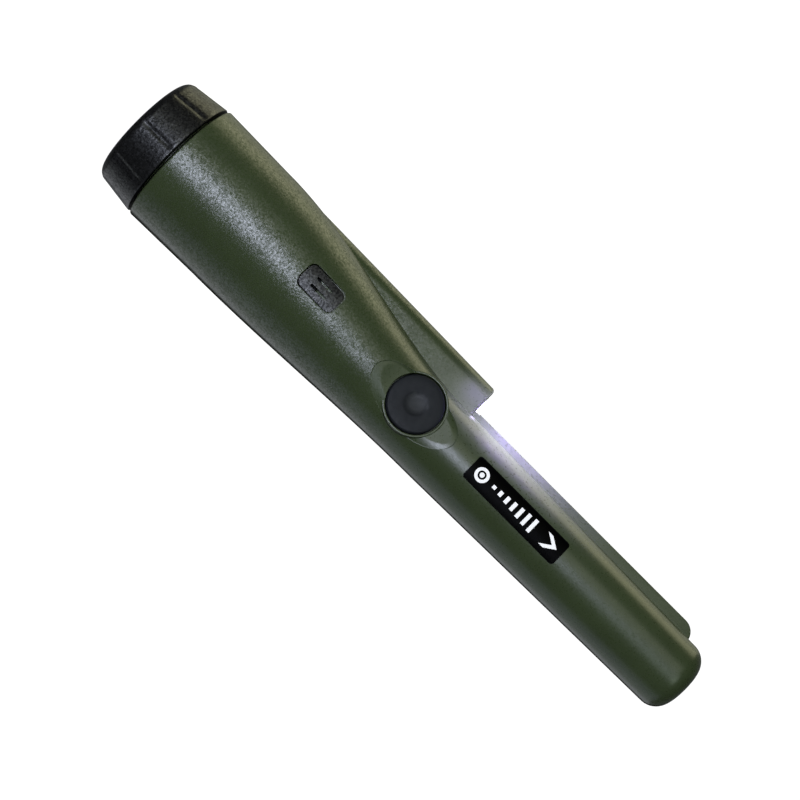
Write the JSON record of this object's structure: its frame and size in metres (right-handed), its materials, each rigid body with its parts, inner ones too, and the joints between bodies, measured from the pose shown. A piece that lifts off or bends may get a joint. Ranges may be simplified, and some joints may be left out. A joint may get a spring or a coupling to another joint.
{
  "type": "pinpointer probe",
  "caption": "Hand-held pinpointing metal detector with a tapered handle, slim round probe, scraper blade, lamp pod, round power button and a screw-on battery cap.",
  "frame": {"origin": "centre of the battery cap's flat end face, on the handle's axis; the probe stands upright on this face", "axes": "+Z from the cap to the probe's tip, the power button, sounder insert and label face -Y, the lamp pod and scraper blade are on the -X side"},
  "size_m": [0.0418, 0.0418, 0.229],
  "materials": {
    "green_plastic": "dark olive green moulded plastic with a fine spark texture",
    "black_plastic": "black moulded plastic with a leather-like grain",
    "black_rubber": "smooth satin black rubber",
    "foam": "dark closed-cell foam",
    "label": "black printed label",
    "battery_jacket": "plain printed metal jacket",
    "tinned": "tin plated",
    "brass": "plain",
    "steel": "zinc plated",
    "copper": "enamelled winding wire",
    "ferrite": "ground dark grey ferrite",
    "board": "green solder mask",
    "chip": "black moulding compound",
    "blue_case": "blue case",
    "white_nylon": "natural nylon",
    "lamp_lens": "clear epoxy lens, lit white",
    "red_wire": "red insulation",
    "black_wire": "black insulation"
  },
  "bodies": {
    "cap": {"battery_cap": "black_plastic", "cap_battery_pad": "foam"},
    "o_ring": {"cap_o_ring": "black_rubber"},
    "housing": {"housing_shell": "green_plastic", "sounder_insert": "black_plastic", "label_plate": "label", "battery_case": "battery_jacket", "battery_terminal_positive": "tinned", "battery_terminal_negative": "tinned", "contact_block": "black_plastic", "contact_positive": "brass", "contact_negative": "brass", "circuit_board": "board", "board_tray": "white_nylon", "board_screw_rear": "steel", "board_screw_middle": "steel", "board_screw_front": "steel", "microcontroller": "chip", "audio_driver": "chip", "voltage_regulator": "chip", "capacitor_large": "chip", "capacitor_small": "blue_case", "crystal_can": "tinned", "trimmer_body": "blue_case", "switch_body": "chip", "button_seal": "black_rubber", "sounder_can": "chip", "sounder_gasket": "foam", "sounder_cup": "white_nylon", "lamp_bulb": "lamp_lens", "lamp_seal": "black_rubber", "lamp_lead_anode": "tinned", "lamp_lead_cathode": "tinned", "motor_can": "steel", "motor_end_cap": "white_nylon", "motor_cradle": "black_rubber", "ferrite_rod": "ferrite", "coil_bobbin": "white_nylon", "search_coil": "copper", "coil_foam_rear": "foam", "coil_foam_front": "foam", "nose_cushion": "foam", "battery_lead_red": "red_wire", "battery_lead_black": "black_wire", "sounder_lead_red": "red_wire", "sounder_lead_black": "black_wire", "motor_lead_red": "red_wire", "motor_lead_black": "black_wire", "lamp_lead_red": "red_wire", "lamp_lead_black": "black_wire", "coil_lead_a": "copper", "coil_lead_b": "copper"},
    "button": {"power_button": "black_rubber", "button_retainer": "steel", "switch_plunger": "white_nylon"},
    "motor_rotor": {"motor_shaft": "steel", "motor_weight": "steel"},
    "trimmer": {"trimmer_rotor": "white_nylon"}
  },
  "joints": [
    {"name": "cap_thread_travel", "type": "slide", "parent": "cap", "child": "o_ring", "axis": [0, 0, 1], "range_m": [0, 0.006]},
    {"name": "cap_thread_turn", "type": "hinge", "parent": "o_ring", "child": "housing", "pos_m": [0, 0, 0], "axis": [0, 0, 1], "range_deg": [0, 720]},
    {"name": "power_button_press", "type": "slide", "parent": "housing", "child": "button", "axis": [0, 1, 0], "range_m": [0, 0.0006], "stiffness_N_per_m": 2500, "springref_m": -0.0004},
    {"name": "motor_spin", "type": "hinge", "parent": "housing", "child": "motor_rotor", "pos_m": [0.0034, 0.0085, 0.094], "axis": [0, 0, 1], "continuous": true},
    {"name": "trimmer_turn", "type": "hinge", "parent": "housing", "child": "trimmer", "pos_m": [0.0092, -0.004, 0.1346], "axis": [0, -1, 0], "range_deg": [-120, 120]}
  ],
  "couplings": [
    {"joint": "cap_thread_travel", "follows": "cap_thread_turn", "m_per_rad": 0.00047746}
  ]
}
